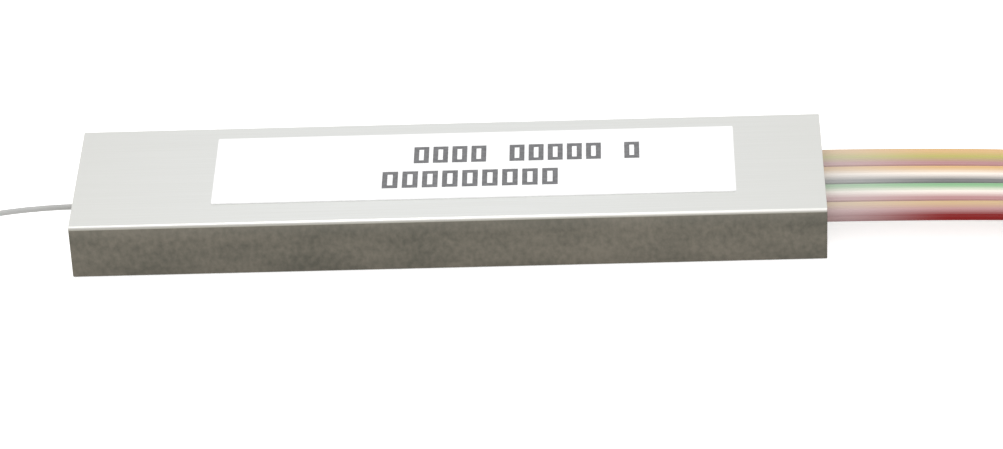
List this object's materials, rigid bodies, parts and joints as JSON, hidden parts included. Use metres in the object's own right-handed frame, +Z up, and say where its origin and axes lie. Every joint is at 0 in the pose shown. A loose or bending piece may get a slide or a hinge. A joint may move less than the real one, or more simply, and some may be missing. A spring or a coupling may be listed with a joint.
{
  "type": "plc fibre splitter",
  "caption": "Slim rectangular metal tube with a white label on top; a thin fibre enters one end and flat ribbons of coloured fibres leave the other, side by side.",
  "frame": {"origin": "middle of the tube's underside", "axes": "+X along the tube towards the ribbons, +Y towards the tube's back long side, +Z up through the labelled face"},
  "size_m": [0.1342, 0.0346, 0.0045],
  "materials": {
    "case_steel": "satin, fine lengthwise grain on top, darker and faintly mottled on the sides",
    "label_paper": "smooth coated white",
    "plug_rubber": "moulded, matte",
    "potting": "cured flush, satin",
    "silicone": "soft, translucent white",
    "optical_glass": "ground and polished",
    "chip_silica": "polished wafer",
    "cured_adhesive": "cured, glossy",
    "fibre_jacket": "smooth light grey",
    "ribbon_coating": "clear acrylate over coloured fibres",
    "tie_band": "matte"
  },
  "bodies": {
    "root": {"housing_tube": "case_steel", "top_label": "label_paper", "input_end_plug": "plug_rubber", "output_end_plug": "plug_rubber", "input_seal": "potting", "output_seal": "potting", "input_cushion": "silicone", "chip_cushion": "silicone", "output_cushion": "silicone", "chip_input_lid": "optical_glass", "chip_output_lid": "optical_glass", "input_array_block": "optical_glass", "input_array_lid": "optical_glass", "output_array_block": "optical_glass", "output_array_lid": "optical_glass", "input_fibre_tip": "optical_glass", "output_fibre_tips": "optical_glass", "plc_chip": "chip_silica", "input_joint_glue": "cured_adhesive", "output_joint_glue": "cured_adhesive", "input_strain_bead": "cured_adhesive", "output_strain_bead": "cured_adhesive", "input_fibre_lead": "fibre_jacket", "input_fibre_coil": "fibre_jacket", "ribbon_lead_1": "ribbon_coating", "ribbon_lead_2": "ribbon_coating", "ribbon_lead_3": "ribbon_coating", "ribbon_lead_4": "ribbon_coating", "ribbon_coil": "ribbon_coating", "input_coil_tie": "tie_band", "ribbon_coil_tie": "tie_band"}
  },
  "joints": []
}
